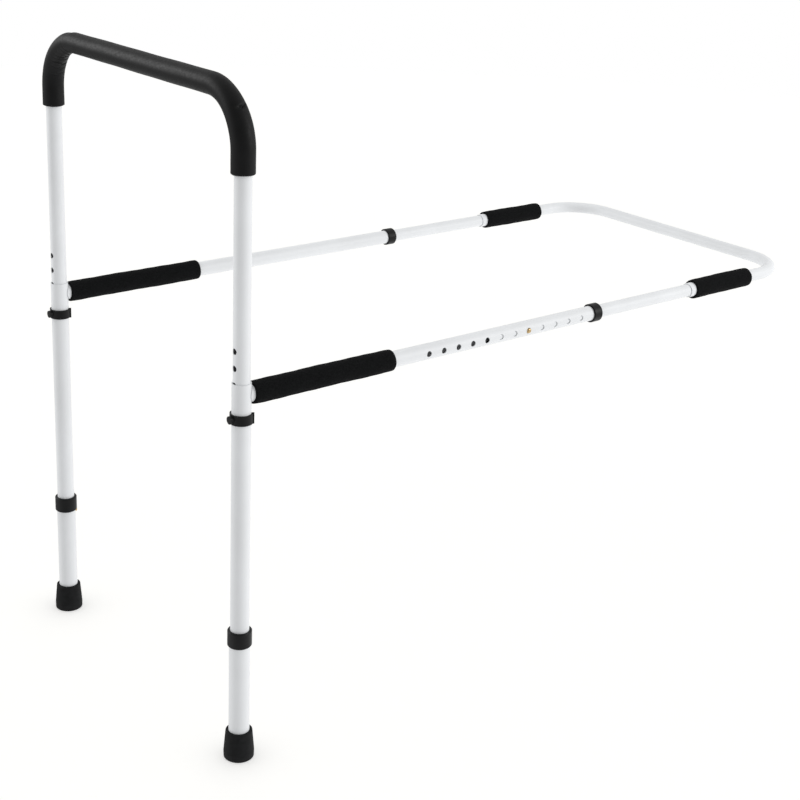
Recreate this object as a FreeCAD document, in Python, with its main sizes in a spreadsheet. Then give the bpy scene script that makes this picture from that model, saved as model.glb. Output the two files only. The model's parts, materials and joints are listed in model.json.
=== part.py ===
"""Bed assist rail: a telescoping hand rail with a loop that goes under a mattress.

The legs stand on z = 0 and the rails run along +X. The near side is -Y, the far side +Y.
Lengths are in millimetres. Tubes are made along their own Z and then placed.
"""
import FreeCAD
import Part
import Sketcher
import os

V = FreeCAD.Vector

# Driving dimensions: alias, value, meaning
DIMENSIONS = [
    ("leg_spacing", 560, "between the two leg axes"),
    ("wall", 1.2, "wall of every steel tube"),
    ("handle_od", 25.4, "hand rail tube"),
    ("leg_od", 28.6, "leg tube"),
    ("foot_od", 31.8, "lower leg tube"),
    ("rail_od", 25.4, "side rail tube"),
    ("slide_od", 22.2, "rail extension, spigot and U bar tube"),
    ("foam_od", 35, "foam grips"),
    ("foam_slack", 0.2, "foam bore over its tube, all round"),
    ("handle_top", 1021, "height of the hand rail's top axis"),
    ("handle_bend", 80, "bend radius of the hand rail's axis"),
    ("handle_base", 470, "height of the hand rail's lower ends"),
    ("grip_base", 910, "height of the hand grip's lower ends"),
    ("handle_pitch", 25.4, "between height holes of the hand rail"),
    ("handle_holes", 7, "height holes in each leg of the hand rail"),
    ("handle_pin_hole", 2, "holes below the one that the clip's pin is in"),
    ("leg_base", 145, "height of the leg tube's lower end"),
    ("leg_top", 609.5, "height of the leg tube's upper end"),
    ("clip_base", 549, "height of the clip's lower edge"),
    ("clip_width", 15, "width of the clip band"),
    ("clip_wall", 2.3, "thickness of the clip band"),
    ("clip_slack", 0.3, "clip band to the leg tube"),
    ("clip_first", 120, "where the clip band starts, degrees from +X"),
    ("clip_last", 326, "where the clip band ends, degrees from +X"),
    ("clip_lip_span", 8, "arc of the squared lip at the band's end, degrees"),
    ("clip_lip_over", 1.6, "lip of the clip over the band, outwards"),
    ("clip_lip_taller", 0.75, "lip of the clip over the band, at each edge"),
    ("pin_dia", 8.4, "clip pin"),
    ("pin_reach", 7, "from the leg axis to the pin's inner end"),
    ("pin_nose", 1.4, "rounding of the pin's inner end"),
    ("boss_dia", 12, "round boss of the clip"),
    ("boss_reach", 21, "from the leg axis to the boss's face"),
    ("boss_floor", 2, "boss beyond the end of its pin"),
    ("hole_dia", 9.5, "holes for pins and snap buttons"),
    ("button_dia", 8.6, "snap button"),
    ("button_dome", 2.8, "rounding of the snap button's front"),
    ("button_root", 2.6, "button inside the inner tube's bore"),
    ("flange_wider", 1.6, "flange of the snap button over its stem"),
    ("flange_thick", 1, "flange of the snap button"),
    ("rail_button_proud", 2.2, "rail button over the rail tube"),
    ("leg_button_proud", 4, "leg button over the lower leg tube"),
    ("spring_wide", 5.8, "leaf spring"),
    ("seat_gap", 0.05, "tube to the moulding pressed on it, all round"),
    ("button_height", 186.8, "height of the lower leg's snap button"),
    ("foot_pitch", 20, "between height holes of the lower leg"),
    ("foot_holes", 7, "height holes of the lower leg"),
    ("foot_top", 211.2, "height of the lower leg tube's upper end"),
    ("collar_base", 191.7, "height of the leg collar's lower edge"),
    ("collar_high", 25.5, "height of the leg collar"),
    ("collar_od", 37, "leg collar"),
    ("tip_high", 46, "height of the rubber foot"),
    ("tip_floor", 9, "rubber under the washer"),
    ("tip_base_od", 46.4, "rubber foot at the floor"),
    ("tip_belly_od", 47, "rubber foot at its widest"),
    ("tip_belly", 10, "height where the foot is widest"),
    ("tip_top_od", 41, "rubber foot at its rim"),
    ("washer_thick", 1.5, "steel washer in the foot"),
    ("washer_od", 31, "steel washer in the foot"),
    ("washer_id", 9, "hole of that washer"),
    ("rail_height", 591, "height of the rail axes"),
    ("rail_start", 15, "from the leg axis to the rail tube's end"),
    ("rail_end", 709, "from the leg axis to the rail tube's other end"),
    ("spigot_reach", 60, "from the leg axis to the spigot's end"),
    ("foam_start", 16, "from the leg axis to the rail foam"),
    ("foam_end", 268, "from the leg axis to the rail foam's end"),
    ("hole_start", 335, "from the leg axis to the first rail hole"),
    ("rail_pitch", 30, "between rail holes"),
    ("rail_holes", 12, "holes in each rail"),
    ("rail_set", 7, "holes before the one that the rail button is in"),
    ("rail_collar_start", 695.5, "from the leg axis to the rail collar"),
    ("rail_collar_end", 714, "from the leg axis to the rail collar's end"),
    ("rail_collar_od", 31.4, "rail collar"),
    ("slide_start", 470, "from the leg axis to the extension's inner end"),
    ("slide_end", 1008, "from the leg axis to the extension's outer end"),
    ("socket_start", 944, "from the leg axis to the U bar's socket mouth"),
    ("socket_end", 1014, "from the leg axis to the socket's taper"),
    ("socket_taper", 10, "length of the taper to the U bar tube"),
    ("end_foam_start", 956, "from the leg axis to the end foam"),
    ("end_foam_end", 1106, "from the leg axis to the end foam's end"),
    ("reach", 1232, "from the leg axis to the U bar's end axis"),
    ("end_bend", 88, "bend radius of the U bar's axis"),
    ("screw_place", 985, "from the leg axis to the joint screws"),
    ("screw_dia", 4, "joint screw"),
    ("screw_head_dia", 7, "head of the joint screw"),
    ("screw_head_high", 2, "head of the joint screw"),
    ("screw_depth", 5, "joint screw under its head"),
    ("running_gap", 0.35, "collar lip to the tube that slides in it"),
]

SIDES = {"near": -1, "far": 1}
LEG_X = "-(Dims.reach + Dims.slide_od / 2 - Dims.tip_belly_od / 2) / 2"
HALF = "Dims.leg_spacing / 2"
ALONG_X = FreeCAD.Rotation(V(0, 1, 0), 90)
TO_MINUS_X = FreeCAD.Rotation(V(0, 1, 0), -90)
TO_MINUS_Y = FreeCAD.Rotation(V(1, 0, 0), 90)
QUARTER_TURN = FreeCAD.Rotation(V(0, 0, 1), 90)
HALF_TURN = FreeCAD.Rotation(V(0, 0, 1), 180)

doc = FreeCAD.newDocument("bed_assist_rail")
sub_parts = []


def make_sheet():
    """Write the driving dimensions in the document's spreadsheet."""
    sheet = doc.addObject("Spreadsheet::Sheet", "Dims")
    for row, (alias, value, meaning) in enumerate(DIMENSIONS, start=1):
        sheet.set(f"A{row}", meaning)
        sheet.set(f"B{row}", str(value))
        sheet.setAlias(f"B{row}", alias)
    doc.recompute()


def new_body(label):
    """A body for one sub-part, named after its node."""
    body = doc.addObject("PartDesign::Body", label)
    body.Label = label
    sub_parts.append(body)
    return body


def place(body, x="0", y="0", z="0", rotation=FreeCAD.Rotation()):
    """Put a finished sub-part in the row's frame."""
    body.Placement = FreeCAD.Placement(V(), rotation)
    bind(body, {"Placement.Base.x": x, "Placement.Base.y": y, "Placement.Base.z": z})


def bind(item, formulas):
    """Bind an object's sizes to the spreadsheet."""
    for name, formula in formulas.items():
        item.setExpression(name, formula)


def origin_feature(body, role):
    """The body's own origin plane or axis of that role."""
    for feature in body.Origin.OriginFeatures:
        if feature.Role == role:
            return feature
    raise ValueError(role)


def new_sketch(body, role, name):
    """A sketch on one of the body's own origin planes."""
    sketch = body.newObject("Sketcher::SketchObject", f"{body.Label}_{name}")
    sketch.AttachmentSupport = [(origin_feature(body, role), "")]
    sketch.MapMode = "FlatFace"
    return sketch


def rod(body, kind, name, diameter, length, at=("0", "0", "0"), rotation=FreeCAD.Rotation()):
    """Add or cut a round bar that starts at a point and runs along the turned Z axis."""
    item = body.newObject(f"PartDesign::{kind}Cylinder", f"{body.Label}_{name}")
    item.Placement = FreeCAD.Placement(V(), rotation)
    bind(item, {"Radius": f"({diameter}) / 2", "Height": length})
    bind(item, {f"Placement.Base.{axis}": value for axis, value in zip("xyz", at)})
    return item


def taper(body, kind, name, first, last, length, at):
    """Add or cut a cone along Z between two diameters."""
    item = body.newObject(f"PartDesign::{kind}Cone", f"{body.Label}_{name}")
    bind(item, {"Radius1": f"({first}) / 2", "Radius2": f"({last}) / 2", "Height": length})
    bind(item, {f"Placement.Base.{axis}": value for axis, value in zip("xyz", at)})
    return item


def hollow(body, outer, inner, length, start="0"):
    """A straight tube along Z."""
    rod(body, "Additive", "outside", outer, length, ("0", "0", start))
    rod(body, "Subtractive", "bore", inner, length, ("0", "0", start))


def row_of(body, feature, length, count):
    """Repeat a feature along the body's Z axis."""
    row = body.newObject("PartDesign::LinearPattern", f"{body.Label}_row")
    row.Originals = [feature]
    row.Direction = (origin_feature(body, "Z_Axis"), [""])
    bind(row, {"Length": length, "Occurrences": count})
    body.Tip = row


def spread(side, formula=HALF):
    """A Y position on the near or far side."""
    return f"{SIDES[side]} * ({formula})"


def add_spine(sketch, base, top, bend):
    """An inverted U in the sketch: two straight legs, two bends and a straight top."""
    half, low, high, radius = 280, 400, 1000, 80
    up = V(0, 0, 1)
    left = V(-half + radius, high - radius, 0)
    right = V(half - radius, high - radius, 0)
    sketch.addGeometry(Part.LineSegment(V(-half, low, 0), V(-half, high - radius, 0)))
    sketch.addGeometry(Part.ArcOfCircle(Part.Circle(left, up, radius), 1.5708, 3.1416))
    sketch.addGeometry(Part.LineSegment(V(-half + radius, high, 0), V(half - radius, high, 0)))
    sketch.addGeometry(Part.ArcOfCircle(Part.Circle(right, up, radius), 0, 1.5708))
    sketch.addGeometry(Part.LineSegment(V(half, high - radius, 0), V(half, low, 0)))
    rule = Sketcher.Constraint
    for line in (0, 4):
        sketch.addConstraint(rule("Vertical", line))
    sketch.addConstraint(rule("Horizontal", 2))
    for first, first_end, second, second_end in ((0, 2, 1, 2), (1, 1, 2, 1), (2, 2, 3, 2), (3, 1, 4, 1)):
        sketch.addConstraint(rule("Tangent", first, first_end, second, second_end))
    sketch.addConstraint(rule("Equal", 1, 3))
    measured = [
        ("bend", rule("Radius", 1, radius), bend),
        ("left", rule("DistanceX", 0, 1, -1, 1, half), HALF),
        ("right", rule("DistanceX", -1, 1, 4, 2, half), HALF),
        ("low", rule("DistanceY", -1, 1, 0, 1, low), base),
        ("low_too", rule("DistanceY", -1, 1, 4, 2, low), base),
        ("high", rule("DistanceY", -1, 1, 2, 1, high), top),
    ]
    for name, constraint, formula in measured:
        number = sketch.addConstraint(constraint)
        sketch.renameConstraint(number, name)
        sketch.setExpression(f"Constraints.{name}", formula)


def add_ring(sketch, outer, inner, up):
    """Two circles about one centre on the sketch's vertical axis."""
    rule = Sketcher.Constraint
    for number, diameter in enumerate((outer, inner)):
        sketch.addGeometry(Part.Circle(V(0, -280, 0), V(0, 0, 1), 12 - number))
        named = {
            f"size{number}": (rule("Diameter", number, 24 - 2 * number), diameter),
            f"down{number}": (rule("DistanceY", number, 3, -1, 1, 280), up),
        }
        sketch.addConstraint(rule("PointOnObject", number, 3, -2))
        for name, (constraint, formula) in named.items():
            place_in_list = sketch.addConstraint(constraint)
            sketch.renameConstraint(place_in_list, name)
            sketch.setExpression(f"Constraints.{name}", formula)


def bent_tube(body, outer, inner, base, top, bend):
    """A tube along an inverted U in the body's YZ plane."""
    spine = new_sketch(body, "YZ_Plane", "spine")
    add_spine(spine, base, top, bend)
    profile = new_sketch(body, "XY_Plane", "profile")
    add_ring(profile, outer, inner, HALF)
    profile.setExpression("AttachmentOffset.Base.z", base)
    doc.recompute()
    pipe = body.newObject("PartDesign::AdditivePipe", f"{body.Label}_pipe")
    pipe.Profile = profile
    pipe.Spine = spine
    pipe.Transition = "Transformed"
    doc.recompute()


def turned(body, outline):
    """Revolve a closed outline of straight lines, pairs of radius and height formulas, about Z."""
    sketch = new_sketch(body, "XZ_Plane", "outline")
    rule = Sketcher.Constraint
    points = [tuple(float(value_of(formula)) for formula in pair) for pair in outline]
    count = len(points)
    for number, point in enumerate(points):
        following = points[(number + 1) % count]
        sketch.addGeometry(Part.LineSegment(V(*point, 0), V(*following, 0)))
    for number in range(count):
        sketch.addConstraint(rule("Coincident", number, 2, (number + 1) % count, 1))
    for number, (radius, height) in enumerate(points):
        across = sketch.addConstraint(rule("DistanceX", -1, 1, number, 1, radius))
        sketch.renameConstraint(across, f"radius{number}")
        sketch.setExpression(f"Constraints.radius{number}", outline[number][0])
        if height > 0:
            rise = sketch.addConstraint(rule("DistanceY", -1, 1, number, 1, height))
            sketch.renameConstraint(rise, f"height{number}")
            sketch.setExpression(f"Constraints.height{number}", outline[number][1])
        else:
            sketch.addConstraint(rule("PointOnObject", number, 1, -1))
    revolution = body.newObject("PartDesign::Revolution", f"{body.Label}_turned")
    revolution.Profile = sketch
    revolution.ReferenceAxis = (sketch, ["V_Axis"])
    revolution.Angle = 360
    doc.recompute()
    return revolution


def value_of(formula):
    """The present value of a formula of spreadsheet cells."""
    return doc.getObject("Dims").evalExpression(formula)


def round_edges(body, base, name, radius, wanted):
    """Fillet the edges of the last feature that a test picks."""
    edges = [f"Edge{n}" for n, edge in enumerate(base.Shape.Edges, start=1) if wanted(edge)]
    fillet = body.newObject("PartDesign::Fillet", f"{body.Label}_{name}")
    fillet.Base = (base, edges)
    bind(fillet, {"Radius": radius})
    doc.recompute()
    return fillet


def make_handle():
    """The hand rail: the bent tube with its height holes, and the foam over it."""
    tube = new_body("handle_tube")
    bent_tube(tube, "Dims.handle_od", "Dims.handle_od - 2 * Dims.wall", "Dims.handle_base",
              "Dims.handle_top", "Dims.handle_bend")
    first = ("Dims.clip_base + Dims.clip_width / 2"
             " - Dims.handle_pin_hole * Dims.handle_pitch")
    span = "(Dims.handle_holes - 1) * Dims.handle_pitch"
    holes = [rod(tube, "Subtractive", f"hole_{side}", "Dims.hole_dia", "Dims.handle_od",
                 ("0", spread(side), first), TO_MINUS_X) for side in SIDES]
    doc.recompute()
    row = tube.newObject("PartDesign::LinearPattern", "handle_tube_row")
    row.Originals = holes
    row.Direction = (origin_feature(tube, "Z_Axis"), [""])
    bind(row, {"Length": span, "Occurrences": "Dims.handle_holes"})
    tube.Tip = row
    place(tube, LEG_X)
    grip = new_body("handle_grip")
    bent_tube(grip, "Dims.foam_od", "Dims.handle_od + 2 * Dims.foam_slack", "Dims.grip_base",
              "Dims.handle_top", "Dims.handle_bend")
    place(grip, LEG_X)


def make_leg_tube(side):
    """The leg tube with the welded spigot that carries the rail."""
    tube = new_body(f"leg_tube_{side}")
    length = "Dims.leg_top - Dims.leg_base"
    rod(tube, "Additive", "outside", "Dims.leg_od", length)
    rise = "Dims.rail_height - Dims.leg_base"
    rod(tube, "Additive", "spigot", "Dims.slide_od", "Dims.spigot_reach", ("0", "0", rise), ALONG_X)
    rod(tube, "Subtractive", "bore", "Dims.leg_od - 2 * Dims.wall", length)
    rod(tube, "Subtractive", "spigot_bore", "Dims.slide_od - 2 * Dims.wall",
        "Dims.spigot_reach - Dims.leg_od / 2", ("Dims.leg_od / 2", "0", rise), ALONG_X)
    pin_rise = "Dims.clip_base + Dims.clip_width / 2 - Dims.leg_base"
    rod(tube, "Subtractive", "pin_hole", "Dims.hole_dia", "Dims.leg_od", ("0", "0", pin_rise), TO_MINUS_X)
    rod(tube, "Subtractive", "button_hole", "Dims.hole_dia", "Dims.leg_od",
        ("0", "0", "Dims.button_height - Dims.leg_base"), ALONG_X)
    place(tube, LEG_X, spread(side), "Dims.leg_base")


def make_clip(side):
    """The C-clip: a band with a squared lip at one end and a boss for its pin."""
    inner = "Dims.leg_od / 2 + Dims.clip_slack"
    outer = f"{inner} + Dims.clip_wall"
    lip_start = "Dims.clip_last - Dims.clip_lip_span"
    pieces = [
        ("band", "Dims.clip_first", "Dims.clip_last - Dims.clip_first", outer, "Dims.clip_width", "0"),
        ("lip", lip_start, "Dims.clip_lip_span", f"{outer} + Dims.clip_lip_over",
         "Dims.clip_width + 2 * Dims.clip_lip_taller", "-Dims.clip_lip_taller"),
    ]
    solids = []
    for name, start, span, radius, height, base in pieces:
        piece = doc.addObject("Part::Cylinder", f"clip_sector_{name}_{side}")
        piece.Placement = FreeCAD.Placement(V(), FreeCAD.Rotation(V(0, 0, 1), 1))
        bind(piece, {"Angle": span, "Radius": radius, "Height": height, "Placement.Base.z": base,
                     "Placement.Rotation.Angle": start})
        solids.append(piece)
    boss = doc.addObject("Part::Cylinder", f"clip_boss_{side}")
    boss.Placement = FreeCAD.Placement(V(), TO_MINUS_X)
    bind(boss, {"Radius": "Dims.boss_dia / 2", "Height": "Dims.boss_reach",
                "Placement.Base.z": "Dims.clip_width / 2"})
    solids.append(boss)
    whole = doc.addObject("Part::MultiFuse", f"clip_whole_{side}")
    whole.Shapes = solids
    bore = doc.addObject("Part::Cylinder", f"clip_bore_{side}")
    bind(bore, {"Radius": inner, "Height": "3 * Dims.clip_width", "Placement.Base.z": "-Dims.clip_width"})
    pin_hole = doc.addObject("Part::Cylinder", f"clip_pin_hole_{side}")
    pin_hole.Placement = FreeCAD.Placement(V(), TO_MINUS_X)
    bind(pin_hole, {"Radius": "Dims.pin_dia / 2", "Height": "Dims.boss_reach - Dims.boss_floor",
                    "Placement.Base.z": "Dims.clip_width / 2"})
    cutters = doc.addObject("Part::MultiFuse", f"clip_cutters_{side}")
    cutters.Shapes = [bore, pin_hole]
    band = doc.addObject("Part::Cut", f"clip_band_{side}")
    band.Base = whole
    band.Tool = cutters
    band.Label = f"clip_band_{side}"
    sub_parts.append(band)
    place(band, LEG_X, spread(side), "Dims.clip_base")

    pin = new_body(f"clip_pin_{side}")
    shaft = rod(pin, "Additive", "shaft", "Dims.pin_dia",
                "Dims.boss_reach - Dims.boss_floor - Dims.pin_reach", ("0", "0", "Dims.pin_reach"))
    doc.recompute()
    lowest = shaft.Shape.BoundBox.ZMin
    round_edges(pin, shaft, "nose", "Dims.pin_nose", lambda edge: edge.BoundBox.ZMax < lowest + 0.01)
    place(pin, LEG_X, spread(side), "Dims.clip_base + Dims.clip_width / 2", TO_MINUS_X)


def make_foot(side):
    """The lower leg: tube with height holes, collar, rubber foot and its washer."""
    base = "Dims.tip_floor + Dims.washer_thick"
    tube = new_body(f"foot_tube_{side}")
    hollow(tube, "Dims.foot_od", "Dims.foot_od - 2 * Dims.wall", f"Dims.foot_top - ({base})", base)
    lowest = "Dims.button_height - (Dims.foot_holes - 1) * Dims.foot_pitch"
    hole = rod(tube, "Subtractive", "hole", "Dims.hole_dia", "Dims.foot_od", ("0", "0", lowest), ALONG_X)
    doc.recompute()
    row_of(tube, hole, "(Dims.foot_holes - 1) * Dims.foot_pitch", "Dims.foot_holes")
    place(tube, LEG_X, spread(side))

    collar = new_body(f"leg_collar_{side}")
    seat = "Dims.foot_top - Dims.collar_base"
    grip, lip = "Dims.foot_od / 2 + Dims.seat_gap", "Dims.leg_od / 2 + Dims.running_gap"
    out = "Dims.collar_od / 2"
    turned(collar, [
        (grip, "0"), (f"{out} - 1", "0"), (out, "1.2"), (out, "Dims.collar_high - 1.5"),
        (f"{out} - 1.2", "Dims.collar_high"), (lip, "Dims.collar_high"), (lip, seat), (grip, seat),
    ])
    place(collar, LEG_X, spread(side), "Dims.collar_base")

    foot = new_body(f"rubber_foot_{side}")
    bore = "Dims.foot_od / 2 + Dims.seat_gap"
    foot_solid = turned(foot, [
        ("0", "0"), ("Dims.tip_base_od / 2 - 1", "0"), ("Dims.tip_base_od / 2", "1"),
        ("Dims.tip_belly_od / 2", "Dims.tip_belly"), ("Dims.tip_top_od / 2 + 0.4", "Dims.tip_high - 6"),
        ("Dims.tip_top_od / 2", "Dims.tip_high - 1.5"), ("Dims.tip_top_od / 2 - 1.5", "Dims.tip_high"),
        (bore, "Dims.tip_high"), (bore, "Dims.tip_floor"), ("0", "Dims.tip_floor"),
    ])
    belly = value_of("Dims.tip_belly")
    round_edges(foot, foot_solid, "belly", "12",
                lambda edge: abs(edge.BoundBox.ZMin - belly) < 0.1 and abs(edge.BoundBox.ZMax - belly) < 0.1)
    place(foot, LEG_X, spread(side))

    washer = new_body(f"foot_washer_{side}")
    hollow(washer, "Dims.washer_od", "Dims.washer_id", "Dims.washer_thick")
    place(washer, LEG_X, spread(side), "Dims.tip_floor")


def make_snap(name, side, inner_od, outer_od, at, rotation):
    """A snap button and its V spring, pointing to -Y before it is turned; the tube runs along Z."""
    root = f"{inner_od} / 2 - Dims.wall - Dims.button_root"
    button = new_body(f"{name}_button_{side}")
    length = f"{outer_od} / 2 + Dims.{name}_button_proud - ({root})"
    foot = ("0", f"-({root})", "0")
    stem = rod(button, "Additive", "stem", "Dims.button_dia", length, foot, TO_MINUS_Y)
    doc.recompute()
    front = stem.Shape.BoundBox.YMin
    round_edges(button, stem, "dome", "Dims.button_dome", lambda edge: edge.BoundBox.YMax < front + 0.01)
    rod(button, "Additive", "flange", "Dims.button_dia + Dims.flange_wider", "Dims.flange_thick", foot,
        TO_MINUS_Y)
    place(button, *at, rotation)

    spring = new_body(f"{name}_spring_{side}")
    thick, gap = 0.6, 0.15
    top = value_of(root) - gap
    bottom = value_of(f"{inner_od} / 2 - Dims.wall") - gap - 0.5
    sketch = new_sketch(spring, "YZ_Plane", "outline")
    outline = [
        (-top, 4), (-top, -4), (-1, -26), (1.6, -28), (3.4, -26), (bottom, 6),
        (bottom - thick, 6), (3.4 - thick, -25.4), (1.6, -27.2), (-1 + thick, -25.6), (-top + thick, -4),
        (-top + thick, 4),
    ]
    for number, point in enumerate(outline):
        following = outline[(number + 1) % len(outline)]
        sketch.addGeometry(Part.LineSegment(V(*point, 0), V(*following, 0)))
        sketch.addConstraint(Sketcher.Constraint("Block", number))
    pad = spring.newObject("PartDesign::Pad", f"{spring.Label}_leaf")
    pad.Profile = sketch
    pad.Midplane = True
    bind(pad, {"Length": "Dims.spring_wide"})
    place(spring, *at, rotation)


def make_rail(side):
    """The side rail: tube with its holes, foam and end collar. Its own Z runs along the rail."""
    turn = ALONG_X
    if side == "far":
        turn = ALONG_X * HALF_TURN
    at = (LEG_X, spread(side), "Dims.rail_height")
    tube = new_body(f"rail_tube_{side}")
    hollow(tube, "Dims.rail_od", "Dims.rail_od - 2 * Dims.wall", "Dims.rail_end")
    rod(tube, "Subtractive", "saddle", "Dims.leg_od + 2 * (Dims.rail_start - Dims.leg_od / 2)", "60",
        ("-30", "0", "0"), ALONG_X)
    hole = rod(tube, "Subtractive", "hole", "Dims.hole_dia", "Dims.rail_od", ("0", "0", "Dims.hole_start"),
               TO_MINUS_Y)
    doc.recompute()
    row_of(tube, hole, "(Dims.rail_holes - 1) * Dims.rail_pitch", "Dims.rail_holes")
    place(tube, *at, turn)

    foam = new_body(f"rail_foam_{side}")
    hollow(foam, "Dims.foam_od", "Dims.rail_od + 2 * Dims.foam_slack", "Dims.foam_end - Dims.foam_start",
           "Dims.foam_start")
    place(foam, *at, ALONG_X)

    collar = new_body(f"rail_collar_{side}")
    seat = "Dims.rail_end - Dims.rail_collar_start"
    whole = "Dims.rail_collar_end - Dims.rail_collar_start"
    grip, lip = "Dims.rail_od / 2 + Dims.seat_gap", "Dims.slide_od / 2 + Dims.running_gap"
    out = "Dims.rail_collar_od / 2"
    turned(collar, [
        (grip, "0"), (f"{out} - 0.8", "0"), (out, "0.8"), (out, f"{whole} - 1.5"), (f"{out} - 1.2", whole),
        (lip, whole), (lip, seat), (grip, seat),
    ])
    place(collar, f"{LEG_X} + Dims.rail_collar_start", spread(side), "Dims.rail_height", ALONG_X)


def make_extension(side):
    """The sliding extension of a rail and the foam at the U bar's end."""
    turn = ALONG_X
    if side == "far":
        turn = ALONG_X * HALF_TURN
    at = (LEG_X, spread(side), "Dims.rail_height")
    set_place = "Dims.hole_start + Dims.rail_set * Dims.rail_pitch"
    tube = new_body(f"rail_extension_{side}")
    hollow(tube, "Dims.slide_od", "Dims.slide_od - 2 * Dims.wall", "Dims.slide_end - Dims.slide_start",
           "Dims.slide_start")
    rod(tube, "Subtractive", "hole", "Dims.hole_dia", "Dims.slide_od", ("0", "0", set_place), TO_MINUS_Y)
    down = {"near": ALONG_X, "far": TO_MINUS_X}[side]
    rod(tube, "Subtractive", "screw_hole", "Dims.screw_dia", "Dims.slide_od", ("0", "0", "Dims.screw_place"),
        down)
    place(tube, *at, turn)
    make_snap("rail", side, "Dims.slide_od", "Dims.rail_od",
              (f"{LEG_X} + {set_place}", spread(side), "Dims.rail_height"), turn)

    foam = new_body(f"end_foam_{side}")
    hollow(foam, "Dims.foam_od", "Dims.rail_od + 2 * Dims.foam_slack",
           "Dims.end_foam_end - Dims.end_foam_start", "Dims.end_foam_start")
    rod(foam, "Subtractive", "screw_room", "Dims.screw_head_dia + 1",
        "Dims.rail_od / 2 + Dims.screw_head_high + 0.4", ("0", "0", "Dims.screw_place"), ALONG_X)
    place(foam, *at, ALONG_X)


def make_u_bar():
    """The U bar with its two widened sockets. Its own Z runs along the rails."""
    bar = new_body("u_bar")
    start = "Dims.socket_end + Dims.socket_taper"
    bore = "Dims.slide_od - 2 * Dims.wall"
    wide_bore = "Dims.rail_od - 2 * Dims.wall"
    bent_tube(bar, "Dims.slide_od", bore, start, "Dims.reach", "Dims.end_bend")
    for side in SIDES:
        mouth = ("0", spread(side), "Dims.socket_start")
        shoulder = ("0", spread(side), "Dims.socket_end")
        depth = "Dims.socket_end - Dims.socket_start"
        taper(bar, "Additive", f"taper_{side}", "Dims.rail_od", "Dims.slide_od", "Dims.socket_taper",
              shoulder)
        rod(bar, "Additive", f"socket_{side}", "Dims.rail_od", depth, mouth)
        rod(bar, "Subtractive", f"socket_bore_{side}", wide_bore, depth, mouth)
        taper(bar, "Subtractive", f"taper_bore_{side}", wide_bore, bore, "Dims.socket_taper", shoulder)
        rod(bar, "Subtractive", f"screw_hole_{side}", "Dims.screw_dia", "Dims.rail_od",
            ("0", spread(side), "Dims.screw_place"), ALONG_X)
    place(bar, LEG_X, "0", "Dims.rail_height", ALONG_X)


def make_joint_screws():
    """Two pan-head screws, one under each socket, pointing up into the extension tubes."""
    screws = []
    for side in SIDES:
        head = doc.addObject("Part::Cylinder", f"screw_head_{side}")
        bind(head, {"Radius": "Dims.screw_head_dia / 2", "Height": "Dims.screw_head_high"})
        shank = doc.addObject("Part::Cylinder", f"screw_shank_{side}")
        bind(shank, {"Radius": "Dims.screw_dia / 2 - 0.05", "Height": "Dims.screw_depth",
                     "Placement.Base.z": "Dims.screw_head_high"})
        screw = doc.addObject("Part::Fuse", f"screw_{side}")
        screw.Base = head
        screw.Tool = shank
        bind(screw, {"Placement.Base.x": "Dims.screw_place", "Placement.Base.y": spread(side),
                     "Placement.Base.z": "-Dims.rail_od / 2 - Dims.screw_head_high - 0.05"})
        screws.append(screw)
    group = doc.addObject("Part::Compound", "joint_screws")
    group.Links = screws
    group.Label = "joint_screws"
    sub_parts.append(group)
    place(group, LEG_X, "0", "Dims.rail_height")


def check_and_write():
    """Stop on any failed object or shape, then write one STEP file per sub-part."""
    for item in doc.Objects:
        if "Invalid" in item.State or "Error" in item.State:
            raise RuntimeError(f"{item.Label}: {item.State}")
    os.makedirs("parts", exist_ok=True)
    for part in sub_parts:
        if part.Shape.isNull() or not part.Shape.isValid():
            raise RuntimeError(f"{part.Label}: bad shape")
        print(f"{part.Label}: {len(part.Shape.Solids)} solid, {part.Shape.Volume:.0f} mm3")
        part.Shape.exportStep(f"parts/{part.Label}.step")


make_sheet()
make_handle()
for side_name in SIDES:
    make_leg_tube(side_name)
    make_clip(side_name)
    make_foot(side_name)
    make_snap("leg", side_name, "Dims.leg_od", "Dims.foot_od",
              (LEG_X, spread(side_name), "Dims.button_height"), QUARTER_TURN)
    make_rail(side_name)
    make_extension(side_name)
make_u_bar()
make_joint_screws()
doc.recompute()
check_and_write()
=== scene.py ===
"""Bed assist rail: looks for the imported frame, in metres."""
import bpy
import json
import math
from mathutils import Matrix, Vector


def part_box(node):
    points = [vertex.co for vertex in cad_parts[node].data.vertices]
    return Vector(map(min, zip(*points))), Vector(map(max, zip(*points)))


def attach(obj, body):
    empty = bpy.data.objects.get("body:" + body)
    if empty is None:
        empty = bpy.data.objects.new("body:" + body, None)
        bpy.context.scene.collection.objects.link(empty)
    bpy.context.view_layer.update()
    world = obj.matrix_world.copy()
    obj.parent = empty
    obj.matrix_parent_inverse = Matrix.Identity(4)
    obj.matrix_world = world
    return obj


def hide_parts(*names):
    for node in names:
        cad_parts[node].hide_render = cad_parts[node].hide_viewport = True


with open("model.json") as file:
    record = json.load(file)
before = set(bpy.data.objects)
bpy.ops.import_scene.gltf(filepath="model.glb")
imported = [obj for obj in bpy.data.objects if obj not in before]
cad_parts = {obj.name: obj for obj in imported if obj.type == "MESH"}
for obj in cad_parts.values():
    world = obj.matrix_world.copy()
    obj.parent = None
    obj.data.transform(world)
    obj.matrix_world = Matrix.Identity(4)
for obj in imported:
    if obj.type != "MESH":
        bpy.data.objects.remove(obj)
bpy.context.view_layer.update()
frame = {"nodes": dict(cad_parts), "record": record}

SIDES = ("near", "far")
X_AXIS, Y_AXIS, Z_AXIS = Vector((1, 0, 0)), Vector((0, 1, 0)), Vector((0, 0, 1))
TWO_PI = 2 * math.pi


def middle(node):
    """The centre of a CAD node's box."""
    low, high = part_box(node)
    return (low + high) / 2


LEG_X = middle("foot_tube_near").x

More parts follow.
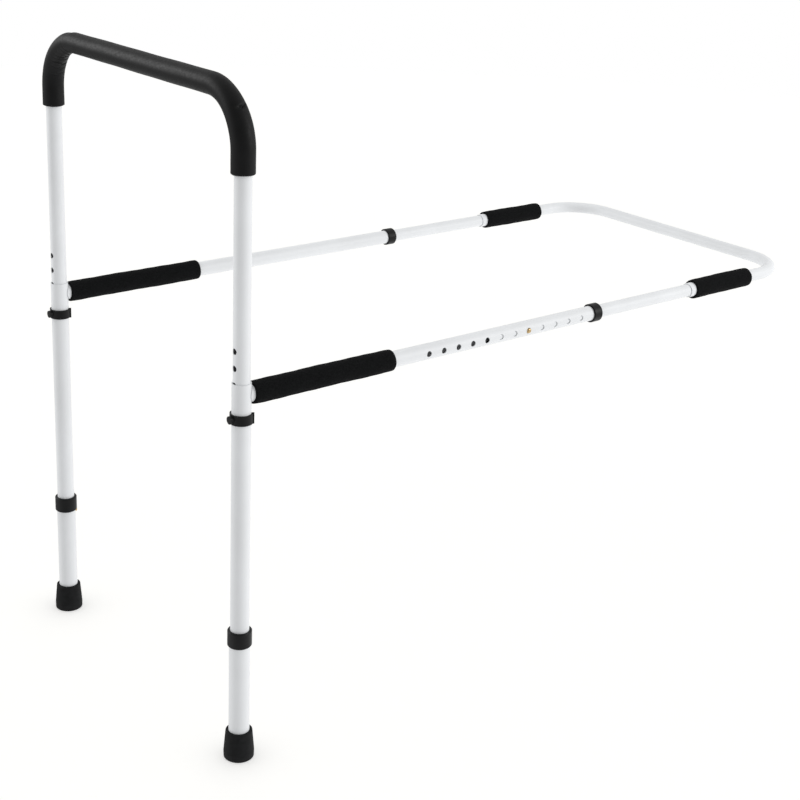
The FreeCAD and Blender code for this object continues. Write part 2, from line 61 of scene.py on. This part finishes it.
# ---------------------------------------------------------------- camera

CAMERA_PLACE = Vector((LEG_X - 1.099, -1.964, 1.378))
YAW, PITCH, ROLL = 50.63, 17.97, 2.38  # degrees: from +X, downwards, about the line of sight
LENS, SENSOR = 68.3, 36  # mm
SHIFT_Y = -0.115
VIEW_DEPTH = 50


def make_camera():
    """A camera in front of the near leg, above the hand rail, looking along the rails."""
    place = CAMERA_PLACE
    yaw, pitch, roll = (math.radians(angle) for angle in (YAW, PITCH, ROLL))
    forward = Vector((
        math.cos(yaw) * math.cos(pitch),
        math.sin(yaw) * math.cos(pitch),
        -math.sin(pitch),
    ))
    level = Vector((math.sin(yaw), -math.cos(yaw), 0))
    upright = level.cross(forward)
    right = math.cos(roll) * level + math.sin(roll) * upright
    up = math.cos(roll) * upright - math.sin(roll) * level
    camera = bpy.data.objects.new("camera", bpy.data.cameras.new("camera"))
    camera.data.lens = LENS
    camera.data.sensor_width = SENSOR
    camera.data.shift_y = SHIFT_Y
    camera.data.clip_end = VIEW_DEPTH
    camera.matrix_world = Matrix((
        (right.x, up.x, -forward.x, place.x),
        (right.y, up.y, -forward.y, place.y),
        (right.z, up.z, -forward.z, place.z),
        (0, 0, 0, 1),
    ))
    bpy.context.scene.collection.objects.link(camera)
    bpy.context.scene.camera = camera


# ---------------------------------------------------------------- node helpers


def add_node(tree, kind, **settings):
    """A new node with some of its settings changed."""
    node = tree.nodes.new(kind)
    for name, value in settings.items():
        setattr(node, name, value)
    return node


def add_ramp(tree, source, stops):
    """A ramp on a value between 0 and 1; each stop is a position and a colour or a grey."""
    node = add_node(tree, "ShaderNodeValToRGB")
    tree.links.new(source, node.inputs["Fac"])
    elements = node.color_ramp.elements
    while len(elements) < len(stops):
        elements.new(0.5)
    for element, (position, colour) in zip(elements, stops):
        element.position = position
        element.color = colour if isinstance(colour, tuple) else (colour, colour, colour, 1)
    return node.outputs["Color"]


def add_mix(tree, first, second, factor=1.0, mode="MIX"):
    """A mix of two colours; each input is another node's output or a fixed value."""
    node = add_node(tree, "ShaderNodeMix", data_type="RGBA", blend_type=mode)
    for number, value in ((0, factor), (6, first), (7, second)):
        if isinstance(value, bpy.types.NodeSocket):
            tree.links.new(value, node.inputs[number])
        else:
            node.inputs[number].default_value = value
    return node.outputs[2]


def add_facing(tree, direction, towards):
    """1 where a direction points towards another, -1 where it points away."""
    node = add_node(tree, "ShaderNodeVectorMath", operation="DOT_PRODUCT")
    node.inputs[1].default_value = towards
    tree.links.new(direction, node.inputs[0])
    return node.outputs["Value"]


def add_range(tree, value, low, high=1):
    """0 to 1 as a value goes from low to high."""
    node = add_node(tree, "ShaderNodeMapRange")
    node.inputs["From Min"].default_value = low
    node.inputs["From Max"].default_value = high
    tree.links.new(value, node.inputs["Value"])
    return node.outputs["Result"]


# ---------------------------------------------------------------- materials


class Shader:
    """A material under construction: a Principled shader and what feeds it."""

    def __init__(self, name, **sockets):
        self.material = bpy.data.materials.new(name)
        self.material.use_nodes = True
        self.tree = self.material.node_tree
        self.shader = self.tree.nodes["Principled BSDF"]
        self.place = self.tree.nodes.new("ShaderNodeTexCoord").outputs["Object"]
        for socket, value in sockets.items():
            self.shader.inputs[socket.replace("_", " ")].default_value = value

    def noise(self, size, detail=2.0, stretch=None):
        """Noise whose blotches are about that size, in metres."""
        node = self.tree.nodes.new("ShaderNodeTexNoise")
        node.inputs["Scale"].default_value = 1 / size
        node.inputs["Detail"].default_value = detail
        source = self.place
        if stretch:
            mapping = self.tree.nodes.new("ShaderNodeMapping")
            mapping.inputs["Scale"].default_value = stretch
            self.tree.links.new(source, mapping.inputs["Vector"])
            source = mapping.outputs["Vector"]
        self.tree.links.new(source, node.inputs["Vector"])
        return node.outputs["Fac"]

    def cells(self, size):
        """Round pores or grains about that size, in metres."""
        node = self.tree.nodes.new("ShaderNodeTexVoronoi")
        node.inputs["Scale"].default_value = 1 / size
        self.tree.links.new(self.place, node.inputs["Vector"])
        return node.outputs["Distance"]

    def painted_shade_inside(self, colour, reach, stops):
        """The colour with painted shade: darker where the same piece closes in on itself, as inside a tube,
        from the local occlusion there.
        """
        space = add_node(self.tree, "ShaderNodeAmbientOcclusion", only_local=True, samples=8)
        space.inputs["Distance"].default_value = reach
        shade = add_ramp(self.tree, space.outputs["AO"], stops)
        return add_mix(self.tree, colour, shade, mode="MULTIPLY")

    def feed(self, source, socket):
        """Link a source to one of the shader's sockets."""
        self.tree.links.new(source, self.shader.inputs[socket])

    def vary(self, socket, size, detail, *stops):
        """Let noise of a size move a socket between two colours or greys."""
        self.feed(add_ramp(self.tree, self.noise(size, detail), stops), socket)

    def bump(self, layers):
        """Stack bumps, each a height, a depth in metres and a strength; returns the material."""
        normal = None
        for height, depth, strength in layers:
            node = self.tree.nodes.new("ShaderNodeBump")
            node.inputs["Distance"].default_value = depth
            node.inputs["Strength"].default_value = strength
            self.tree.links.new(height, node.inputs["Height"])
            if normal:
                self.tree.links.new(normal, node.inputs["Normal"])
            normal = node.outputs["Normal"]
        self.feed(normal, "Normal")
        return self.material


def grey(value, tint=0.10):
    """A grey with a slight cool tint."""
    return (value, value * (1 + tint / 2), value * (1 + tint), 1)


def white_paint():
    """Satin powder coat: a fine orange peel and faint cloudiness, with painted shade that darkens it inside
    the tubes.
    """
    paint = Shader("white_paint", Specular_IOR_Level=0.4)
    coat = add_ramp(paint.tree, paint.noise(0.06, 3), [(0.3, grey(0.80, 0.034)), (0.7, grey(0.84, 0.038))])
    # Painted shade: the coat's colour falls to near black where the tube closes in on itself, inside it and
    # in its holes.
    paint.feed(paint.painted_shade_inside(coat, 0.03, [(0.06, grey(0.05)), (0.28, grey(1.0, 0.0))]), "Base Color")
    paint.vary("Roughness", 0.009, 4, (0.3, grey(0.42)), (0.7, grey(0.50)))
    return paint.bump([(paint.noise(0.0016, 2), 0.00006, 0.35), (paint.noise(0.012, 1), 0.0002, 0.06)])


def grip_foam():
    """The hand rail's foam: a smooth skin with fine pores and a soft sheen."""
    foam = Shader("grip_foam", Specular_IOR_Level=0.17)
    foam.vary("Base Color", 0.02, 5, (0.3, grey(0.0022)), (0.72, grey(0.0045)))
    foam.vary("Roughness", 0.004, 4, (0.3, grey(0.44)), (0.7, grey(0.56)))
    return foam.bump([
        (foam.cells(0.0011), 0.00012, 0.30),
        (foam.noise(0.0007, 3), 0.0001, 0.35),
        (foam.noise(0.014, 2), 0.0008, 0.10),
    ])


def rail_foam():
    """The rails' foam: open pores, rougher and deeper black."""
    foam = Shader("rail_foam", Specular_IOR_Level=0.06)
    foam.vary("Base Color", 0.0018, 4, (0.32, grey(0.003)), (0.72, grey(0.010)))
    foam.vary("Roughness", 0.003, 3, (0.3, grey(0.78)), (0.7, grey(0.92)))
    return foam.bump([(foam.cells(0.0015), 0.0004, 0.6), (foam.noise(0.0008, 4), 0.0004, 0.6)])


def black_plastic():
    """Moulded plastic with a fine spark-eroded grain."""
    plastic = Shader("black_plastic", Specular_IOR_Level=0.18)
    plastic.vary("Base Color", 0.015, 3, (0.3, grey(0.004)), (0.7, grey(0.007)))
    plastic.vary("Roughness", 0.003, 4, (0.3, grey(0.34)), (0.7, grey(0.46)))
    return plastic.bump([(plastic.noise(0.0006, 3), 0.00008, 0.35), (plastic.noise(0.006, 2), 0.0003, 0.08)])


def black_rubber():
    """Matte moulded rubber with a faintly blotchy skin."""
    rubber = Shader("black_rubber", Specular_IOR_Level=0.14)
    rubber.vary("Base Color", 0.008, 5, (0.3, grey(0.006)), (0.75, grey(0.012)))
    rubber.vary("Roughness", 0.002, 4, (0.3, grey(0.60)), (0.7, grey(0.76)))
    return rubber.bump([(rubber.noise(0.0009, 3), 0.0002, 0.4), (rubber.noise(0.009, 2), 0.0005, 0.1)])


def metal(name, dark, light, rough):
    """Bare metal with light tarnish and drawing marks."""
    bare = Shader(name, Metallic=1.0)
    bare.vary("Base Color", 0.002, 4, (0.3, dark), (0.7, light))
    bare.vary("Roughness", 0.001, 3, (0.3, grey(rough)), (0.7, grey(rough + 0.12)))
    return bare.bump([(bare.noise(0.0008, 2, (1, 1, 0.2)), 0.00004, 0.4)])


MATERIALS = {
    "white_paint": white_paint(),
    "black_foam": grip_foam(),
    "rail_foam": rail_foam(),
    "black_plastic": black_plastic(),
    "black_rubber": black_rubber(),
    "brass": metal("brass", (0.42, 0.29, 0.14, 1), (0.68, 0.50, 0.26, 1), 0.26),
    "steel": metal("steel", (0.42, 0.42, 0.43, 1), (0.62, 0.62, 0.63, 1), 0.30),
}


def dress_nodes():
    """Give every CAD node the material of its slot."""
    for part in frame["record"]["subparts"]:
        node = frame["nodes"][part["node"]]
        for slot in node.material_slots:
            slot.material = MATERIALS[part["material_slot"]]


# ---------------------------------------------------------------- foam sleeves

STATION = 0.001  # metres between two rings
AROUND = 72  # points in a ring
LIP = 0.0016  # rounding of a sleeve's ends
SLACK = 0.0002  # foam bore over its tube, all round
GRIP_BEND = 0.080  # radius of the hand rail's bends
GRIP_TRIM, RAIL_TRIM = 0.0001, 0.0004  # keep an uneven surface inside the CAD foam
GRIP_CUT, RAIL_CUT = 0.0003, 0.0004  # how far the cut ends wave


class Line:
    """Stations along a centre line: point, inward direction and sideways direction."""

    def __init__(self):
        self.stations = []
        self.length = 0.0

    def straight(self, start, end, inward, sideways):
        """Add a straight run."""
        run = end - start
        count = max(2, round(run.length / STATION))
        for step in range(count + 1):
            along = self.length + run.length * step / count
            self.stations.append((start + run * step / count, inward, sideways, along))
        self.length += run.length

    def bend(self, centre, radius, first, last):
        """Add a bend in the YZ plane between two angles from +Y, in radians."""
        count = round(radius * abs(last - first) / STATION)
        for step in range(1, count):
            angle = first + (last - first) * step / count
            outward = Vector((0, math.cos(angle), math.sin(angle)))
            along = self.length + radius * abs(angle - first)
            self.stations.append((centre + outward * radius, -outward, X_AXIS, along))
        self.length += radius * abs(last - first)


def ring(station, radius_at):
    """Points round a station; radius_at takes the length and the angle from the inward side."""
    point, inward, sideways, along = station
    points = []
    for step in range(AROUND):
        angle = TWO_PI * step / AROUND
        direction = inward * math.cos(angle) + sideways * math.sin(angle)
        points.append(point + direction * radius_at(along, angle))
    return points


def sleeve(name, line, outer, bore, shape, uneven):
    """A closed foam tube along a line, with rounded lips; shape adds to the outer radius."""

    def outside(along, angle):
        edge = min(along, line.length - along)
        lip = 0.0
        if edge < LIP:
            lip = LIP - math.sqrt(max(0.0, LIP ** 2 - (LIP - edge) ** 2))
        return outer - lip + shape(along, angle)

    def inside(along, angle):
        return bore

    rings = [ring(station, outside) for station in line.stations]
    rings += [ring(station, inside) for station in reversed(line.stations)]
    stations = line.stations
    first_cut, last_cut = (stations[0], 0.7, (0, -1)), (stations[-1], 2.1, (len(stations) - 1, len(stations)))
    start_side = stations[0][1].cross(stations[0][2])
    forwards = -1 if (stations[1][0] - stations[0][0]).dot(start_side) < 0 else 1
    for station, phase, numbers in (first_cut, last_cut):
        ahead = station[1].cross(station[2]) * forwards
        for number in numbers:
            for step, point in enumerate(rings[number]):
                point += ahead * uneven * math.sin(2 * TWO_PI * step / AROUND + phase)
    vertices = [point for one in rings for point in one]
    faces = []
    for number in range(len(rings)):
        here, there = number * AROUND, (number + 1) % len(rings) * AROUND
        for step in range(AROUND):
            following = (step + 1) % AROUND
            faces.append((here + step, there + step, there + following, here + following))
    mesh = bpy.data.meshes.new(name)
    mesh.from_pydata(vertices, [], faces)
    mesh.polygons.foreach_set("use_smooth", [True] * len(mesh.polygons))
    mesh.update()
    piece = bpy.data.objects.new(name, mesh)
    bpy.context.scene.collection.objects.link(piece)
    return piece


def bell(distance, width):
    """A smooth bump of height 1."""
    return math.exp(-(distance / width) ** 2)


def step_up(value, start, width):
    """Rises smoothly from 0 to 1 about a start."""
    return 0.5 + 0.5 * math.tanh((value - start) / width)


def turn_from(angle, centre):
    """The signed angle from a centre, between -pi and pi."""
    return (angle - centre + math.pi) % TWO_PI - math.pi


def finish_foam(piece, node, body, material):
    """Finish a foam sleeve: give it its material, hide the CAD node it replaces and attach it to the body it
    rides on.
    """
    piece.data.materials.append(MATERIALS[material])
    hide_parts(node)
    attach(piece, body)


def make_hand_grip():
    """The long sleeve over the hand rail, creased inside its far bend and nicked on its near one."""
    low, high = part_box("handle_grip")
    outer = (high.x - low.x) / 2
    tube_low, tube_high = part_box("handle_tube")
    bore = (tube_high.x - tube_low.x) / 2 + SLACK
    top = high.z - outer
    half = high.y - outer

    def at(y, z):
        return Vector((LEG_X, y, z))

    line = Line()
    line.straight(at(-half, low.z), at(-half, top - GRIP_BEND), Y_AXIS, X_AXIS)
    near_bend = line.length
    line.bend(at(-half + GRIP_BEND, top - GRIP_BEND), GRIP_BEND, math.pi, math.pi / 2)
    near_top = line.length
    line.straight(at(-half + GRIP_BEND, top), at(half - GRIP_BEND, top), -Z_AXIS, X_AXIS)
    far_top = line.length
    line.bend(at(half - GRIP_BEND, top - GRIP_BEND), GRIP_BEND, math.pi / 2, 0)
    far_bend = line.length
    line.straight(at(half, top - GRIP_BEND), at(half, low.z), -Y_AXIS, X_AXIS)
    near_middle = (near_bend + near_top) / 2
    far_middle = (far_top + far_bend) / 2

    outside, inside, nick_side = math.pi, 0.1, math.pi - 0.06
    # Height, place along and its width, side and its width: dips where the foam stretches
    # outside the bends, and two rolls where it is pressed inside the far one.
    swells = [
        (-0.0006, near_middle, 0.05, outside, 0.9),
        (0.0009, far_middle - 0.028, 0.006, inside, 0.6),
        (0.0006, far_middle - 0.001, 0.006, inside, 0.6),
        (-0.0016, far_top + 0.011, 0.0065, outside, 0.75),
    ]
    # Place from the far bend's middle, depth and width.
    creases = [
        (-0.051, 0.0044, 0.0017), (-0.036, 0.0022, 0.0014), (-0.024, 0.0014, 0.0012),
        (-0.015, 0.0021, 0.0014), (-0.006, 0.0012, 0.0011), (0.007, 0.0018, 0.0014),
        (0.019, 0.0009, 0.0012), (0.033, 0.0006, 0.0012),
    ]

    def shape(along, angle):
        stretched = step_up(along, near_middle, 0.03) * step_up(-along, -far_middle, 0.03)
        change = -0.0010 * stretched
        change += 0.00012 * math.sin(along / 0.017 + 2 * angle) + 0.0001 * math.sin(along / 0.041 - angle)
        for height, place, length, side, breadth in swells:
            change += height * bell(along - place, length) * bell(turn_from(angle, side), breadth)
        for offset, depth, width in creases:
            sway = 0.0024 * math.sin(1.7 * angle + 120 * offset)
            distance = along - far_middle - offset - sway
            change -= depth * bell(distance, width) * bell(turn_from(angle, inside), 0.8)
        across = turn_from(angle, nick_side)
        nick = along - near_middle + 0.0083 + 0.0035 * across - 0.009 * across ** 2
        change -= 0.0048 * bell(nick, 0.0018) * bell(across, 0.40)
        change += 0.0007 * bell(nick + 0.0028, 0.0016) * bell(across, 0.36)
        return min(change, 0.0)

    grip = sleeve("hand_grip_foam", line, outer - GRIP_TRIM, bore, shape, GRIP_CUT)
    finish_foam(grip, "handle_grip", "handle", "black_foam")


def make_rail_foam(node, body, phase):
    """A straight sleeve on a rail, slightly uneven as cut foam is."""
    low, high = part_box(node)
    outer = (high.z - low.z) / 2
    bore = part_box("rail_tube_near")[1].z - middle("rail_tube_near").z + SLACK
    centre = (low + high) / 2
    line = Line()
    start, end = Vector((low.x, centre.y, centre.z)), Vector((high.x, centre.y, centre.z))
    line.straight(start, end, -Z_AXIS, Y_AXIS)

    def shape(along, angle):
        wave = 0.00018 * math.sin(along / 0.013 + 2 * angle + phase)
        wave += 0.0002 * math.sin(along / 0.031 - angle + phase)
        wave += 0.00012 * math.sin(along / 0.0047 + 5 * angle - phase)
        return wave - 0.0004 * bell(along, 0.006) - 0.0004 * bell(along - line.length, 0.006)

    piece = sleeve(node + "_foam", line, outer - RAIL_TRIM, bore, shape, RAIL_CUT)
    finish_foam(piece, node, body, "rail_foam")


# ---------------------------------------------------------------- floor and light

FLOOR_RADIUS, FLOOR_HEIGHT = 6, -0.0004
FLOOR_COLOUR = (0.800, 0.795, 0.768, 1)
FLOOR_GLOW = 0.46
WHITE_WITHIN, GREY_BEYOND = 1.5, 4.0  # metres from the middle of the floor
BACKDROP_SIDE = Vector((0.62, 0.78, 0)).normalized()
WALL_GREY, RIM_GREY = 0.78, 0.48
FRONT_SIDE = Vector((-0.60, -0.78, 0.15)).normalized()
DIM_SIDE = Vector((-0.25, 0.93, -0.27)).normalized()


def add_backdrop(tree, direction, low):
    """White on the backdrop's side, falling to a grey on the others."""
    across = add_range(tree, add_facing(tree, direction, BACKDROP_SIDE), -1)
    return add_ramp(tree, across, [(0.60, low), (0.875, 1.0)])


def make_floor():
    """A plain white floor that shows only faint shadows and throws no light back."""
    place = (0, 0, FLOOR_HEIGHT)
    bpy.ops.mesh.primitive_circle_add(vertices=96, radius=FLOOR_RADIUS, fill_type="NGON", location=place)
    floor = bpy.context.object
    floor.name = "floor"
    floor.visible_diffuse = False
    floor.visible_glossy = False
    material = bpy.data.materials.new("floor")
    material.use_nodes = True
    tree = material.node_tree
    shader = tree.nodes["Principled BSDF"]
    shader.inputs["Base Color"].default_value = FLOOR_COLOUR
    shader.inputs["Roughness"].default_value = 1.0
    shader.inputs["Specular IOR Level"].default_value = 0.0
    shader.inputs["Emission Strength"].default_value = FLOOR_GLOW
    spot = add_node(tree, "ShaderNodeTexCoord").outputs["Object"]
    heading = add_node(tree, "ShaderNodeVectorMath", operation="NORMALIZE")
    tree.links.new(spot, heading.inputs[0])
    reach = add_node(tree, "ShaderNodeVectorMath", operation="LENGTH")
    tree.links.new(spot, reach.inputs[0])
    rim = add_backdrop(tree, heading.outputs["Vector"], RIM_GREY)
    away = add_range(tree, reach.outputs["Value"], WHITE_WITHIN, GREY_BEYOND)
    tree.links.new(add_mix(tree, (1, 1, 1, 1), rim, away), shader.inputs["Emission Color"])
    floor.data.materials.append(material)
    return floor


def make_world():
    """The backdrop that is seen, and the dim room with a bright floor that lights the object."""
    world = bpy.data.worlds.new("studio")
    bpy.context.scene.world = world
    world.use_nodes = True
    tree = world.node_tree
    direction = add_node(tree, "ShaderNodeTexCoord").outputs["Generated"]
    height = add_range(tree, add_facing(tree, direction, Z_AXIS), -1)
    room = add_ramp(tree, height, [(0.0, 1.35), (0.30, 1.10), (0.46, 0.76), (0.60, 0.79), (1.0, 0.75)])
    front = add_ramp(tree, add_facing(tree, direction, FRONT_SIDE), [(0.30, 1.0), (0.95, 0.60)])
    shade = add_ramp(tree, add_facing(tree, direction, DIM_SIDE), [(0.72, 1.0), (0.97, 0.45)])
    light = add_mix(tree, room, front, mode="MULTIPLY")
    light = add_mix(tree, light, shade, mode="MULTIPLY")
    seen = add_node(tree, "ShaderNodeLightPath").outputs["Is Camera Ray"]
    shown = add_mix(tree, light, add_backdrop(tree, direction, WALL_GREY), seen)
    tree.links.new(shown, tree.nodes["Background"].inputs["Color"])


def make_light(name, place, target, size, power, unlit):
    """A large soft lamp that points at a target and lights everything but one object."""
    data = bpy.data.lights.new(name, "AREA")
    data.shape = "DISK"
    data.size = size
    data.energy = power
    light = bpy.data.objects.new(name, data)
    light.location = place
    light.rotation_euler = (Vector(target) - Vector(place)).to_track_quat("-Z", "Y").to_euler()
    light.visible_camera = False
    receivers = bpy.data.collections.new(f"{name}_receivers")
    receivers.objects.link(unlit)
    receivers.collection_objects[0].light_linking.link_state = "EXCLUDE"
    light.light_linking.receiver_collection = receivers
    bpy.context.scene.collection.objects.link(light)


make_camera()
dress_nodes()
make_hand_grip()
for turn, side_name in enumerate(SIDES):
    make_rail_foam(f"rail_foam_{side_name}", "frame", 1.3 * turn)
    make_rail_foam(f"end_foam_{side_name}", "end_loop", 2.1 + 1.7 * turn)
floor_sheet = make_floor()
make_world()
make_light("left", (-2.1, 2.6, 2.0), (-0.5, 0, 0.7), 1.8, 43, floor_sheet)
make_light("right", (2.2, -2.9, 2.0), (0, 0, 0.5), 2.4, 59, floor_sheet)
bpy.context.scene.view_settings.view_transform = "Standard"
